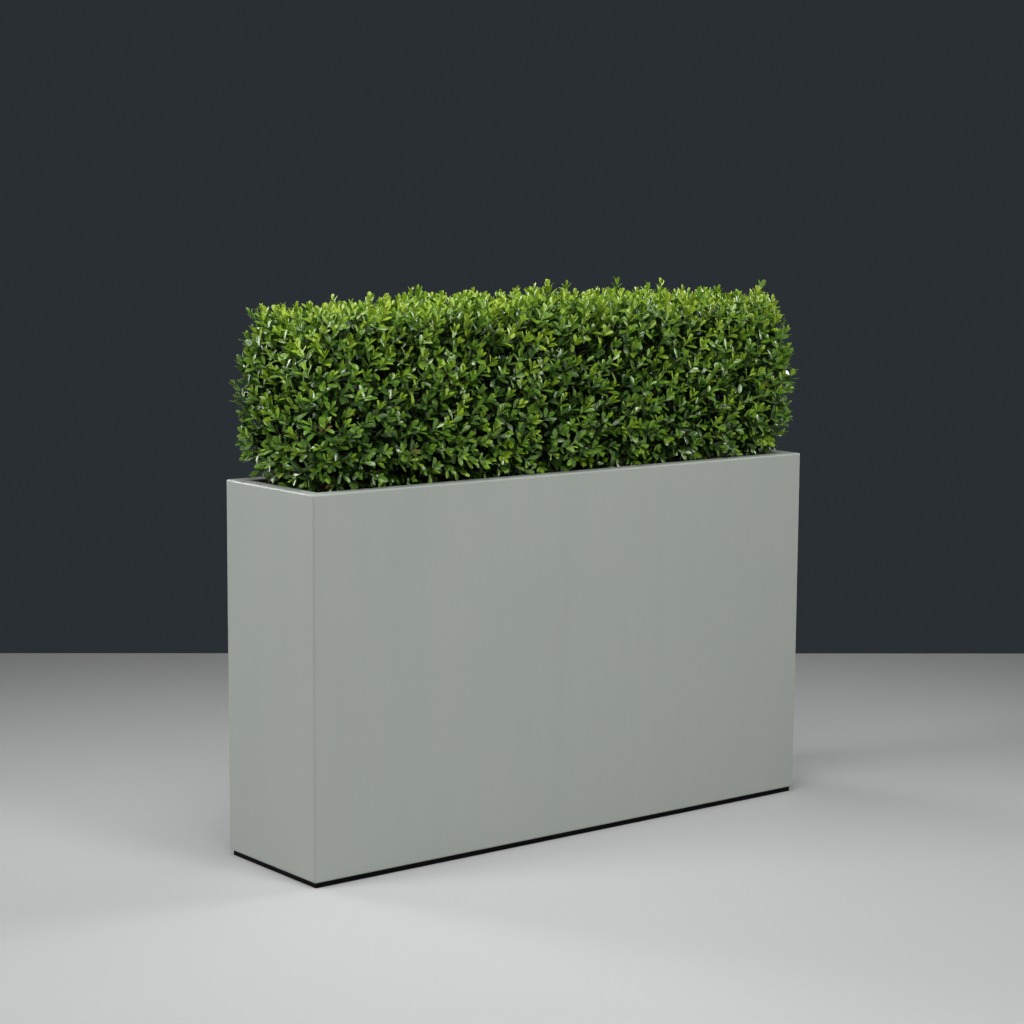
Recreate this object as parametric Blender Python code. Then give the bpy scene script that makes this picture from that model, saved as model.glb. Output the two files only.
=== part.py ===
"""Potted boxwood hedge.

A tall fibreglass trough on a recessed plinth, filled with potting soil, with a row of box plants
clipped to one block with rounded ends. Metres, +Z up. The origin is the middle of the plinth's
flat underside, and the trough's long side runs along X.

Each plant is a short stem and one mass of foliage that keeps to its own length of the hedge. In a
mass, boughs leave the stem by the golden angle, twigs leave the boughs for points spread evenly
over the clipped outline, and each twig ends in a shoot with leaves. A core smaller than the
outline stands for the dense inside.
"""

import math
import random

import bmesh
import bpy
from mathutils import Vector

# Clearance between neighbouring solids.
GAP = 0.0003

# Trough: an open box whose rim returns inwards.
TROUGH_LENGTH = 1.200
TROUGH_DEPTH = 0.290
TROUGH_HEIGHT = 0.702
WALL = 0.008
FLOOR = 0.012
RIM_WIDTH = 0.030
RIM_THICKNESS = 0.020
EDGE_RADIUS = 0.0035
EDGE_SEGMENTS = 3

# Plinth: a slab set back under the trough.
PLINTH_HEIGHT = 0.010
PLINTH_INSET = 0.006

# Soil: its surface lies below the top of the rim.
SOIL_DROP = 0.030

# Levels above the ground.
TROUGH_BASE = PLINTH_HEIGHT + GAP
RIM_TOP = TROUGH_BASE + TROUGH_HEIGHT
SOIL_TOP = RIM_TOP - SOIL_DROP

# Clipped outline of the hedge. Heights count from the top of the rim.
HEDGE_LENGTH = 1.196
HEDGE_DEPTH = 0.290
HEDGE_HEIGHT = 0.326
HEDGE_CORNER = 0.048
FOOT_INSET = 0.034
FOOT_HEIGHT = 0.100
SHOULDER_INSET = 0.026

# New growth past the clipped outline: on the sides, and on the top.
SIDE_GROWTH = 0.016
TALLEST_GROWTH = 0.026
SHORTEST_GROWTH = -0.012

# Plants: short stems in the soil, each from a flat cut through a lobed root flare to its tip.
PLANT_COUNT = 5
PLANT_PITCH = HEDGE_LENGTH / PLANT_COUNT
STEM_HEIGHT = 0.042
STEM_RADIUS = 0.0125
STEM_TIP_RADIUS = 0.0105
STEM_LEAN = 0.004
STEM_SIDES = 15
FLARE_RADIUS = 0.024
FLARE_HEIGHT = 0.016
FLARE_LOBES = 5
FLARE_LOBE = 0.20

# Core of a mass, inside the clipped outline, and the hollow under it for the stem.
CORE_DEPTH = 0.026
CORE_FOOT = -0.008
CORE_CORNER = 0.030
CORE_CORNER_POINTS = 4
CORE_BANDS = 5
CORE_SHOULDER = 0.014
SOCKET_RADIUS = 0.022
SOCKET_RISE = 0.006
SEAM = 0.0006

# Stem, boughs and twigs inside a mass.
INNER_STEM_TOP = 0.230
BOUGHS = 14
BOUGH_REACH = 0.55
BOUGH_RADIUS = 0.0060
BOUGH_LOWEST = 0.065
BOUGH_HIGHEST = 0.260
BOUGH_RISE = 0.35
LIMB_SIDES = 3
LIMB_TESTS = 20

# Shoots and leaves.
TWIG_RADIUS = 0.0030
SHOOT_RADIUS = 0.0018
SHOOT_ROOT = 0.008
SHOOT_LIFT = 0.35
SHOOT_JITTER = 0.25
SHOOT_SPACING = 0.058
SHOOT_LOWEST = 0.008
SHOOT_TRIES = 8000
LEAF_LENGTH = 0.040
LEAF_WIDTH = 0.022
LEAF_WIDEST = 0.56
LEAF_THICKNESS = 0.0018
LEAF_ROOT = 0.0010
LEAF_STEP = 0.0065
LEAF_OPENING = math.radians(46)
LEAF_OPENING_SPREAD = 0.2
LEAVES_PER_SHOOT = 3
LEAF_TRIES = 4
LEAF_TURN = 0.4
SEED = 41


def clear_scene():
    for scene_object in list(bpy.data.objects):
        bpy.data.objects.remove(scene_object, do_unlink=True)


def make_material(name, colour, roughness):
    material = bpy.data.materials.new(name)
    material.use_nodes = True
    shader = material.node_tree.nodes["Principled BSDF"]
    shader.inputs["Base Color"].default_value = (*colour, 1.0)
    shader.inputs["Roughness"].default_value = roughness
    shader.inputs["Metallic"].default_value = 0.0
    return material


def add_object(name, bm, material, place, collection=None):
    """An object placed at a point, from a bmesh in the part's frame, which is freed."""
    bmesh.ops.recalc_face_normals(bm, faces=bm.faces[:])
    bmesh.ops.translate(bm, vec=-place, verts=bm.verts)
    mesh = bpy.data.meshes.new(name)
    bm.to_mesh(mesh)
    bm.free()
    mesh.materials.append(material)
    new_object = bpy.data.objects.new(name, mesh)
    new_object.location = place
    (collection or bpy.context.scene.collection).objects.link(new_object)
    return new_object


# ---------------------------------------------------------------- trough, plinth and soil


def box_mesh(length, depth, bottom, top):
    bm = bmesh.new()
    bmesh.ops.create_cube(bm, size=1.0)
    bmesh.ops.scale(bm, vec=(length, depth, top - bottom), verts=bm.verts)
    bmesh.ops.translate(bm, vec=(0.0, 0.0, (top + bottom) / 2), verts=bm.verts)
    return bm


def step_face(bm, face, length, depth, height):
    """Extrudes a level four-cornered face and sets the size and height of the new one."""
    extruded = bmesh.ops.extrude_face_region(bm, geom=[face])["geom"]
    new_face = next(item for item in extruded if isinstance(item, bmesh.types.BMFace))
    for vertex in new_face.verts:
        vertex.co.x = math.copysign(length / 2, vertex.co.x)
        vertex.co.y = math.copysign(depth / 2, vertex.co.y)
        vertex.co.z = height
    bmesh.ops.delete(bm, geom=[face], context="FACES_ONLY")
    return new_face


def build_trough(material):
    """The trough: a block whose top is stepped in to the mouth, down past the rim, out and down."""
    mouth = (TROUGH_LENGTH - 2 * RIM_WIDTH, TROUGH_DEPTH - 2 * RIM_WIDTH)
    cavity = (TROUGH_LENGTH - 2 * WALL, TROUGH_DEPTH - 2 * WALL)
    bm = box_mesh(TROUGH_LENGTH, TROUGH_DEPTH, TROUGH_BASE, RIM_TOP)
    rounded_edges = list(bm.edges)
    face = max(bm.faces, key=lambda item: item.calc_center_median().z)
    face = step_face(bm, face, *mouth, RIM_TOP)
    rounded_edges += list(face.edges)
    face = step_face(bm, face, *mouth, RIM_TOP - RIM_THICKNESS)
    face = step_face(bm, face, *cavity, RIM_TOP - RIM_THICKNESS)
    step_face(bm, face, *cavity, TROUGH_BASE + FLOOR)
    bmesh.ops.bevel(
        bm,
        geom=rounded_edges,
        offset=EDGE_RADIUS,
        segments=EDGE_SEGMENTS,
        profile=0.5,
        affect="EDGES",
    )
    return add_object("trough", bm, material, Vector((0.0, 0.0, TROUGH_BASE)))


def build_plinth(material):
    bm = box_mesh(TROUGH_LENGTH - 2 * PLINTH_INSET, TROUGH_DEPTH - 2 * PLINTH_INSET, 0.0, PLINTH_HEIGHT)
    return add_object("plinth", bm, material, Vector((0.0, 0.0, 0.0)))


def build_soil(material):
    """The soil, which fills the trough from its floor and stands clear of its walls."""
    bottom = TROUGH_BASE + FLOOR + GAP
    side = WALL + GAP
    bm = box_mesh(TROUGH_LENGTH - 2 * side, TROUGH_DEPTH - 2 * side, bottom, SOIL_TOP)
    return add_object("potting_soil", bm, material, Vector((0.0, 0.0, bottom)))


# ---------------------------------------------------------------- limbs and leaves


def loft_mesh(rings):
    """A closed solid through rings of equal numbers of points, with flat ends."""
    bm = bmesh.new()
    loops = [[bm.verts.new(point) for point in ring] for ring in rings]
    for lower, upper in zip(loops, loops[1:]):
        for index in range(len(lower)):
            following = (index + 1) % len(lower)
            bm.faces.new((lower[index], lower[following], upper[following], upper[index]))
    bm.faces.new(reversed(loops[0]))
    bm.faces.new(loops[-1])
    return bm


def limb_mesh(start, end, start_radius, end_radius):
    """A straight tapering limb between two points."""
    axis = (end - start).normalized()
    side = axis.orthogonal().normalized()
    other = axis.cross(side)
    turns = [math.tau * step / LIMB_SIDES for step in range(LIMB_SIDES)]
    spokes = [math.cos(turn) * side + math.sin(turn) * other for turn in turns]
    return loft_mesh(
        [
            [start + start_radius * spoke for spoke in spokes],
            [end + end_radius * spoke for spoke in spokes],
        ]
    )


def leaf_points(root, along, facing):
    """Root, side, tip, side, top and bottom of a leaf: a kite, widest past its middle."""
    across = facing.cross(along).normalized()
    upward = along.cross(across).normalized()
    middle = root + along * (LEAF_WIDEST * LEAF_LENGTH)
    return [
        root,
        middle - across * (LEAF_WIDTH / 2),
        root + along * LEAF_LENGTH,
        middle + across * (LEAF_WIDTH / 2),
        middle + upward * (LEAF_THICKNESS / 2),
        middle - upward * (LEAF_THICKNESS / 2),
    ]


def leaf_mesh(points):
    bm = bmesh.new()
    *outline, top, bottom = [bm.verts.new(point) for point in points]
    for index, vertex in enumerate(outline):
        following = outline[(index + 1) % len(outline)]
        bm.faces.new((vertex, following, top))
        bm.faces.new((following, vertex, bottom))
    return bm


# ---------------------------------------------------------------- clipped outline


def clip_inset(height):
    """How far the clipped sides stand in from their widest line, at a height above the rim."""
    if height < FOOT_HEIGHT:
        return FOOT_INSET * (1 - max(height, 0.0) / FOOT_HEIGHT) ** 2
    return SHOULDER_INSET * ((height - FOOT_HEIGHT) / (HEDGE_HEIGHT - FOOT_HEIGHT)) ** 3


def outline_distance(point):
    """Distance of a point outside the clipped outline, below zero inside it."""
    height = point.z - RIM_TOP
    side_inset = clip_inset(min(height, HEDGE_HEIGHT)) + HEDGE_CORNER
    reach_x = abs(point.x) - (HEDGE_LENGTH / 2 - side_inset)
    reach_y = abs(point.y) - (HEDGE_DEPTH / 2 - side_inset)
    outside = math.hypot(max(reach_x, 0.0), max(reach_y, 0.0))
    inside = min(max(reach_x, reach_y), 0.0)
    return max(outside + inside - HEDGE_CORNER, height - HEDGE_HEIGHT)


def outward(point):
    """Outward direction of the clipped outline near a point."""
    slopes = []
    for axis in (Vector((GAP, 0, 0)), Vector((0, GAP, 0)), Vector((0, 0, GAP))):
        slopes.append(outline_distance(point + axis) - outline_distance(point - axis))
    return Vector(slopes).normalized()


def outline_point(random_source):
    """A random point of the clipped outline: a ray from the hedge's middle line, followed to it."""
    line_end = (HEDGE_LENGTH - HEDGE_DEPTH) / 2
    middle_x = random_source.uniform(-HEDGE_LENGTH / 2, HEDGE_LENGTH / 2)
    start = Vector((max(-line_end, min(line_end, middle_x)), 0.0, RIM_TOP + HEDGE_HEIGHT / 2))
    direction = Vector([random_source.gauss(0.0, 1.0) for _ in range(3)]).normalized()
    near, far = 0.0, HEDGE_LENGTH
    while far - near > GAP:
        half = (near + far) / 2
        if outline_distance(start + direction * half) < 0:
            near = half
        else:
            far = half
    return start + direction * near


def shoot_targets():
    """Points spread evenly over the clipped outline, above the rim."""
    random_source = random.Random(SEED)
    targets = []
    for _ in range(SHOOT_TRIES):
        point = outline_point(random_source)
        apart = all((point - other).length > SHOOT_SPACING for other in targets)
        if apart and point.z > RIM_TOP + SHOOT_LOWEST:
            targets.append(point)
    return targets


# ---------------------------------------------------------------- stems


def plant_x(index):
    return (index - (PLANT_COUNT - 1) / 2) * PLANT_PITCH


def stem_foot(index):
    return Vector((plant_x(index), 0.0, SOIL_TOP + GAP))


def stem_tip(index):
    """Tip of a plant's short stem, which leans a little."""
    random_source = random.Random(SEED + index)
    lean_x = random_source.uniform(-STEM_LEAN, STEM_LEAN)
    lean_y = random_source.uniform(-STEM_LEAN, STEM_LEAN)
    return stem_foot(index) + Vector((lean_x, lean_y, STEM_HEIGHT))


def stem_ring(centre, radius, lobe=0.0, turn=0.0):
    """Level ring of a stem, whose root lobes stand out by a part of its radius."""
    ring = []
    for step in range(STEM_SIDES):
        angle = math.tau * step / STEM_SIDES
        reach = radius * (1 + lobe * math.cos(FLARE_LOBES * angle + turn))
        ring.append(centre + Vector((reach * math.cos(angle), reach * math.sin(angle), 0.0)))
    return ring


def build_stem(index, material):
    """A short trunk from its flat cut on the soil, through its root flare, to its tip."""
    foot = stem_foot(index)
    tip = stem_tip(index)
    turn = random.Random(SEED - index).uniform(0.0, math.tau)
    flare = FLARE_HEIGHT / STEM_HEIGHT
    waist_radius = (FLARE_RADIUS + 2 * STEM_RADIUS) / 3
    rings = [
        stem_ring(foot, FLARE_RADIUS, FLARE_LOBE, turn),
        stem_ring(foot.lerp(tip, flare / 2), waist_radius, FLARE_LOBE / 2, turn),
        stem_ring(foot.lerp(tip, flare), STEM_RADIUS),
        stem_ring(tip, STEM_TIP_RADIUS),
    ]
    return add_object(f"stem_{index + 1}", loft_mesh(rings), material, foot)


# ---------------------------------------------------------------- foliage


def own_space(index):
    """Both ends, along X, of the space that a plant's foliage keeps to, open at the hedge's ends."""
    half = PLANT_PITCH / 2 - SEAM
    hedge_end = HEDGE_LENGTH / 2 + SIDE_GROWTH
    low_x = plant_x(index) - half if index > 0 else -hedge_end
    high_x = plant_x(index) + half if index < PLANT_COUNT - 1 else hedge_end
    return low_x, high_x


def core_ring(index, height, inset):
    """Level ring of the clipped outline, set in and cut off at the plant's own space."""
    low_x, high_x = own_space(index)
    half_x = HEDGE_LENGTH / 2 - inset - clip_inset(height) - CORE_CORNER
    half_y = HEDGE_DEPTH / 2 - inset - clip_inset(height) - CORE_CORNER
    ring = []
    for corner, (side_x, side_y) in enumerate(((1, 1), (-1, 1), (-1, -1), (1, -1))):
        for step in range(CORE_CORNER_POINTS):
            angle = math.pi / 2 * (corner + step / (CORE_CORNER_POINTS - 1))
            x = side_x * half_x + CORE_CORNER * math.cos(angle)
            y = side_y * half_y + CORE_CORNER * math.sin(angle)
            ring.append(Vector((max(low_x, min(high_x, x)), y, RIM_TOP + height)))
    return ring


def socket_ring(index, height):
    """Level ring round a plant's stem, with as many points as the core's outline."""
    count = 4 * CORE_CORNER_POINTS
    ring = []
    for step in range(count):
        angle = math.tau * (step + 0.5) / count
        x = plant_x(index) + SOCKET_RADIUS * math.cos(angle)
        ring.append(Vector((x, SOCKET_RADIUS * math.sin(angle), RIM_TOP + height)))
    return ring


def core_mesh(index):
    """The dense inside of a mass, with a hollow under it that stands clear of the stem."""
    socket_top = stem_tip(index).z + SOCKET_RISE - RIM_TOP
    top = HEDGE_HEIGHT - CORE_DEPTH
    shoulder = top - CORE_SHOULDER
    rings = [socket_ring(index, socket_top), socket_ring(index, CORE_FOOT)]
    for step in range(CORE_BANDS + 1):
        height = CORE_FOOT + (shoulder - CORE_FOOT) * step / CORE_BANDS
        rings.append(core_ring(index, height, CORE_DEPTH))
    rings.append(core_ring(index, top, CORE_DEPTH + CORE_SHOULDER))
    return loft_mesh(rings)


def grow_boughs(index):
    """Solids of a mass's inner stem and boughs, and the tips of the boughs."""
    start = stem_tip(index) + Vector((0.0, 0.0, GAP))
    end = Vector((plant_x(index), 0.0, RIM_TOP + INNER_STEM_TOP))
    solids = [loft_mesh([stem_ring(start, STEM_TIP_RADIUS), stem_ring(end, BOUGH_RADIUS)])]
    reach_x = BOUGH_REACH * PLANT_PITCH / 2
    reach_y = BOUGH_REACH * HEDGE_DEPTH / 2
    tips = []
    for step in range(BOUGHS):
        angle = step * math.pi * (3 - math.sqrt(5))
        height = BOUGH_LOWEST + (BOUGH_HIGHEST - BOUGH_LOWEST) * (step + 0.5) / BOUGHS
        x = plant_x(index) + reach_x * math.cos(angle)
        tip = Vector((x, reach_y * math.sin(angle), RIM_TOP + height))
        base = start.lerp(end, (1 - BOUGH_RISE) * height / BOUGH_HIGHEST)
        solids.append(limb_mesh(base, tip, BOUGH_RADIUS, TWIG_RADIUS))
        tips.append(tip)
    return solids, tips


def clear_of_stem(start, end, index):
    """Whether a straight limb stays out of the hollow that holds a plant's stem."""
    top = stem_tip(index).z + SOCKET_RISE + BOUGH_RADIUS
    reach = SOCKET_RADIUS + BOUGH_RADIUS
    for step in range(LIMB_TESTS + 1):
        point = start.lerp(end, step / LIMB_TESTS)
        if point.z < top and math.hypot(point.x - plant_x(index), point.y) < reach:
            return False
    return True


def fits(points, index, margin=0.0):
    """Whether points keep to a plant's own space, near the clipped outline and above the rim."""
    low_x, high_x = own_space(index)
    for point in points:
        if not low_x + margin < point.x < high_x - margin:
            return False
        if outline_distance(point) > TALLEST_GROWTH or point.z < RIM_TOP + LEAF_THICKNESS:
            return False
        if abs(point.y) > HEDGE_DEPTH / 2 + SIDE_GROWTH:
            return False
    return True


def shoot_line(target, random_source):
    """Root and tip of the shoot whose leaves reach a point of the clipped outline."""
    out = outward(target)
    jitter = Vector([random_source.uniform(-SHOOT_JITTER, SHOOT_JITTER) for _ in range(3)])
    heading = (out + Vector((0.0, 0.0, SHOOT_LIFT)) + jitter).normalized()
    growth = random_source.triangular(SHORTEST_GROWTH, TALLEST_GROWTH, 0.0)
    tip = target - heading * (LEAF_LENGTH * math.cos(LEAF_OPENING) - growth)
    buried = CORE_DEPTH + SHOOT_ROOT + outline_distance(tip)
    return tip - heading * (buried / heading.dot(out)), tip


def grow_leaf(tip, heading, step, turn, index, random_source):
    """Points of one leaf of a shoot, turned round the shoot until it fits, or None."""
    side = heading.orthogonal().normalized()
    other = heading.cross(side)
    for attempt in range(LEAF_TRIES):
        angle = turn + math.tau * step / LEAVES_PER_SHOOT + attempt * LEAF_TURN
        opening = LEAF_OPENING * (1 + random_source.uniform(-LEAF_OPENING_SPREAD, LEAF_OPENING_SPREAD))
        spread = side * math.cos(angle) + other * math.sin(angle)
        along = heading * math.cos(opening) + spread * math.sin(opening)
        root = tip - heading * (LEAF_STEP * (step + 0.5)) - along * LEAF_ROOT
        points = leaf_points(root, along, heading)
        if fits(points, index):
            return points
    return None


def grow_shoot(target, index, bough_ends, random_source):
    """Solids of one shoot: a twig from the nearest bough, the shoot itself and its leaves."""
    root, tip = shoot_line(target, random_source)
    boughs = [bough for bough in bough_ends if clear_of_stem(bough, root, index)]
    if not boughs or not fits([root, tip], index, TWIG_RADIUS):
        return []
    bough = min(boughs, key=lambda bough_end: (bough_end - root).length)
    solids = [
        limb_mesh(bough, root, TWIG_RADIUS, TWIG_RADIUS),
        limb_mesh(root, tip, TWIG_RADIUS, SHOOT_RADIUS),
    ]
    heading = (tip - root).normalized()
    turn = random_source.uniform(0.0, math.tau)
    for step in range(LEAVES_PER_SHOOT):
        points = grow_leaf(tip, heading, step, turn, index, random_source)
        if points:
            solids.append(leaf_mesh(points))
    return solids


def build_foliage(index, targets, material):
    """One mass: core, inner stem, boughs, twigs, shoots and leaves, joined to one solid."""
    name = f"foliage_{index + 1}"
    place = Vector((plant_x(index), 0.0, RIM_TOP))
    random_source = random.Random(SEED * PLANT_COUNT + index)
    solids, bough_ends = grow_boughs(index)
    for target in targets:
        if abs(target.x - plant_x(index)) <= PLANT_PITCH / 2:
            solids += grow_shoot(target, index, bough_ends, random_source)
    growth = bpy.data.collections.new(name)
    for number, solid in enumerate(solids):
        add_object(f"{name}_solid_{number}", solid, material, place, growth)
    mass = add_object(name, core_mesh(index), material, place)
    union = mass.modifiers.new("growth", "BOOLEAN")
    union.operation = "UNION"
    union.operand_type = "COLLECTION"
    union.collection = growth
    with bpy.context.temp_override(object=mass):
        bpy.ops.object.modifier_apply(modifier=union.name)
    for solid in list(growth.objects):
        bpy.data.objects.remove(solid, do_unlink=True)
    bpy.data.collections.remove(growth)
    return mass


def main():
    clear_scene()
    parts = [
        build_trough(make_material("sage_grey_paint", (0.30, 0.34, 0.28), 0.42)),
        build_plinth(make_material("black_plastic", (0.012, 0.012, 0.012), 0.60)),
        build_soil(make_material("soil", (0.030, 0.020, 0.013), 0.95)),
    ]
    bark = make_material("bark", (0.16, 0.11, 0.07), 0.85)
    leaf = make_material("box_leaf", (0.07, 0.14, 0.025), 0.45)
    targets = shoot_targets()
    for index in range(PLANT_COUNT):
        parts.append(build_stem(index, bark))
        parts.append(build_foliage(index, targets, leaf))
    origin = bpy.data.objects.new("potted_hedge", None)
    bpy.context.scene.collection.objects.link(origin)
    for part in parts:
        part.parent = origin


main()
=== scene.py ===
"""Potted boxwood hedge, finished for its render.

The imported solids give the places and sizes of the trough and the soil, which are modelled again
with their finish. Stems, boughs and twigs are grown again by the rule and the seed of the solids,
and the twigs carry finer shoots than the solids do, with leaves of their real size.
"""

import math
import random

import bmesh
import bpy
import numpy as np
from mathutils import Euler, Matrix, Vector, noise


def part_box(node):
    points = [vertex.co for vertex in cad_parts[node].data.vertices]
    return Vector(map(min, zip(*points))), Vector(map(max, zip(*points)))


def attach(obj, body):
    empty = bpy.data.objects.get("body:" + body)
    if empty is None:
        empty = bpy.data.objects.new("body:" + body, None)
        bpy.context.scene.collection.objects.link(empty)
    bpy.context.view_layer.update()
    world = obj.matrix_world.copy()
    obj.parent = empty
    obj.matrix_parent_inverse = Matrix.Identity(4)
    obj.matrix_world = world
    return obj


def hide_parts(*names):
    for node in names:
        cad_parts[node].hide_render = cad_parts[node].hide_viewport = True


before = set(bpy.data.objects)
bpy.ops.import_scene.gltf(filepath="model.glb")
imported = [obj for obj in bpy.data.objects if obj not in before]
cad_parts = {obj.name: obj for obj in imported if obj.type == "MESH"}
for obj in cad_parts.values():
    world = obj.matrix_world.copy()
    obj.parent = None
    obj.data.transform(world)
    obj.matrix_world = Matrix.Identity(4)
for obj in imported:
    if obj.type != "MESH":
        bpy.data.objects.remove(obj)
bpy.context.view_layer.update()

# ---------------------------------------------------------------- sizes, read from the frame

TROUGH_LOW, TROUGH_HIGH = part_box("trough")
SOIL_LOW, SOIL_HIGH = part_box("potting_soil")
TROUGH_LENGTH = TROUGH_HIGH.x - TROUGH_LOW.x
TROUGH_DEPTH = TROUGH_HIGH.y - TROUGH_LOW.y
RIM_TOP = TROUGH_HIGH.z
SOIL_TOP = SOIL_HIGH.z
GAP = 0.0003
WALL = TROUGH_HIGH.x - SOIL_HIGH.x - GAP
TROUGH_FLOOR = SOIL_LOW.z - TROUGH_LOW.z - GAP
RIM_WIDTH = 0.030
RIM_THICKNESS = 0.020
EDGE_RADIUS = 0.0035
EDGE_SEGMENTS = 5

# ---------------------------------------------------------------- the hedge's growth, as in its solids

PLANT_COUNT = sum(name.startswith("foliage_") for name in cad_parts)
HEDGE_LENGTH = 1.196
HEDGE_DEPTH = 0.290
HEDGE_HEIGHT = 0.326
HEDGE_CORNER = 0.048
FOOT_INSET = 0.034
FOOT_HEIGHT = 0.100
SHOULDER_INSET = 0.026
SIDE_GROWTH = 0.016
TALLEST_GROWTH = 0.026
PLANT_PITCH = HEDGE_LENGTH / PLANT_COUNT
STEM_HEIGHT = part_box("stem_1")[1].z - SOIL_TOP - GAP
STEM_RADIUS = 0.0125
STEM_TIP_RADIUS = 0.0105
STEM_LEAN = 0.004
FLARE_RADIUS = 0.024
FLARE_HEIGHT = 0.016
FLARE_LOBES = 5
FLARE_LOBE = 0.20
INNER_STEM_TOP = 0.230
BOUGHS = 14
BOUGH_REACH = 0.55
BOUGH_RADIUS = 0.0060
BOUGH_LOWEST = 0.065
BOUGH_HIGHEST = 0.260
BOUGH_RISE = 0.35
GOLDEN_ANGLE = math.pi * (3 - math.sqrt(5))
TWIG_RADIUS = 0.0030
TWIG_SPACING = 0.058
TWIG_TRIES = 8000
TWIG_DEPTH = 0.052
SHOOT_LOWEST = 0.008
SEED = 41

# ---------------------------------------------------------------- shoots, finer than in the solids

# Each layer's depth under the clipped outline, spacing of shoots, and pairs of leaves on a shoot.
SHOOT_LAYERS = ((0.0, 0.0240, 6), (0.026, 0.0235, 5), (0.052, 0.0260, 4), (0.080, 0.0280, 4))
LOWEST_TARGET = -0.004
SHOOT_TRIES = 42000
SHOOT_LIFT_FOOT = -0.15
SHOOT_LIFT_TOP = 2.0
SHOOT_LIFT_POWER = 0.6
SHOOT_JITTER = 0.24
SHOOT_LENGTH = 0.085
SHOOT_LONGEST_SHARE = 0.8
SHOOT_LOWEST_START = 0.6
SHOOT_POINTS = 6
SHOOT_BASE_RADIUS = 0.0013
SHOOT_TIP_RADIUS = 0.0005
TWIG_BEND = 0.006

# How far a shoot stands out of the clipped outline: single sprigs and clumps stand out further,
# and the top falls away towards both ends of the hedge.
DEEPEST_GROWTH = -0.022
USUAL_GROWTH = 0.008
SPRIG_SHARE = 0.06
SPRIG_GROWTH = 0.016
TOP_SPRIG_GROWTH = 0.014
CORNER_GROWTH = 0.020
CLUMP_SIZE = 0.055
CLUMP_GROWTH = 0.014
CLUMP_CREST = 0.35
LEFT_END_DROP = 0.030
RIGHT_END_DROP = 0.012
END_DROP_START = 0.4

# What keeps shoots and leaves to their plant's space, inside the outline and clear of the rim.
TIP_LEAF = 0.014
SPACE_OVERLAP = 0.006
RIM_CLEARANCE = 0.003
MOUTH_DROP = 0.012

# ---------------------------------------------------------------- camera

CAMERA_PLACE = Vector((-2.936, -3.663, 1.245))
CAMERA_YAW = math.radians(38.32)
CAMERA_PITCH = math.radians(7.58)
CAMERA_ROLL = math.radians(0.36)
LENS_MM = 85.09
SENSOR_MM = 36.0

# ---------------------------------------------------------------- helpers


def deselect():
    if bpy.context.object and bpy.context.object.mode != "OBJECT":
        bpy.ops.object.mode_set(mode="OBJECT")
    bpy.ops.object.select_all(action="DESELECT")


def select_faces(piece, wanted):
    """Selects, in edit mode, only the faces for which wanted(face) is true."""
    mesh = bmesh.from_edit_mesh(piece.data)
    for face in mesh.faces:
        face.select_set(False)
    for face in mesh.faces:
        if wanted(face):
            face.select_set(True)
    mesh.select_flush_mode()
    bmesh.update_edit_mesh(piece.data)


def select_edges(piece, wanted):
    """Selects, in edit mode, only the edges for which wanted(edge) is true."""
    mesh = bmesh.from_edit_mesh(piece.data)
    for edge in mesh.edges:
        edge.select_set(False)
    for edge in mesh.edges:
        if wanted(edge):
            edge.select_set(True)
    bmesh.update_edit_mesh(piece.data)


def ride_root(piece, slot_name, *nodes):
    """Puts a piece on the one body and hides the nodes it replaces. slot_name is not used."""
    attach(piece, "root")
    if nodes:
        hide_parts(*nodes)


def joined_mesh(name, points, faces, material):
    """A smooth piece at the origin from lists of points and faces."""
    mesh = bpy.data.meshes.new(name)
    mesh.from_pydata(points, [], faces)
    mesh.materials.append(material)
    mesh.shade_smooth()
    piece = bpy.data.objects.new(name, mesh)
    bpy.context.scene.collection.objects.link(piece)
    return piece


# ---------------------------------------------------------------- shader node groups

NOISE_ROUGHNESS = 0.55
STREAK_DETAIL = 4.0
STREAK_WAVER = 0.8
MOTTLE_DETAIL = 5.0
GRAIN_DETAIL = 3.0


def new_group(name, inputs, output, output_kind):
    """A node group with numbers that go in, by name, and one value that comes out."""
    group = bpy.data.node_groups.new(name, "ShaderNodeTree")
    for label, value in inputs.items():
        socket = group.interface.new_socket(label, in_out="INPUT", socket_type="NodeSocketFloat")
        socket.default_value = value
    group.interface.new_socket(output, in_out="OUTPUT", socket_type=output_kind)
    entry = group.nodes.new("NodeGroupInput")
    exit_node = group.nodes.new("NodeGroupOutput")
    return group, entry, exit_node


def noise_node(group, detail):
    node = group.nodes.new("ShaderNodeTexNoise")
    node.inputs["Scale"].default_value = 1.0
    node.inputs["Detail"].default_value = detail
    node.inputs["Roughness"].default_value = NOISE_ROUGHNESS
    return node


def put_out_mask(group, entry, exit_node, texture):
    """Stretches a noise about its middle by the group's Contrast, and puts it out as a mask."""
    centred = group.nodes.new("ShaderNodeMath")
    centred.operation = "SUBTRACT"
    centred.inputs[1].default_value = 0.5
    group.links.new(texture.outputs["Fac"], centred.inputs[0])
    spread = group.nodes.new("ShaderNodeMath")
    spread.operation = "MULTIPLY_ADD"
    spread.use_clamp = True
    spread.inputs[2].default_value = 0.5
    group.links.new(centred.outputs["Value"], spread.inputs[0])
    group.links.new(entry.outputs["Contrast"], spread.inputs[1])
    group.links.new(spread.outputs["Value"], exit_node.inputs["Mask"])


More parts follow.
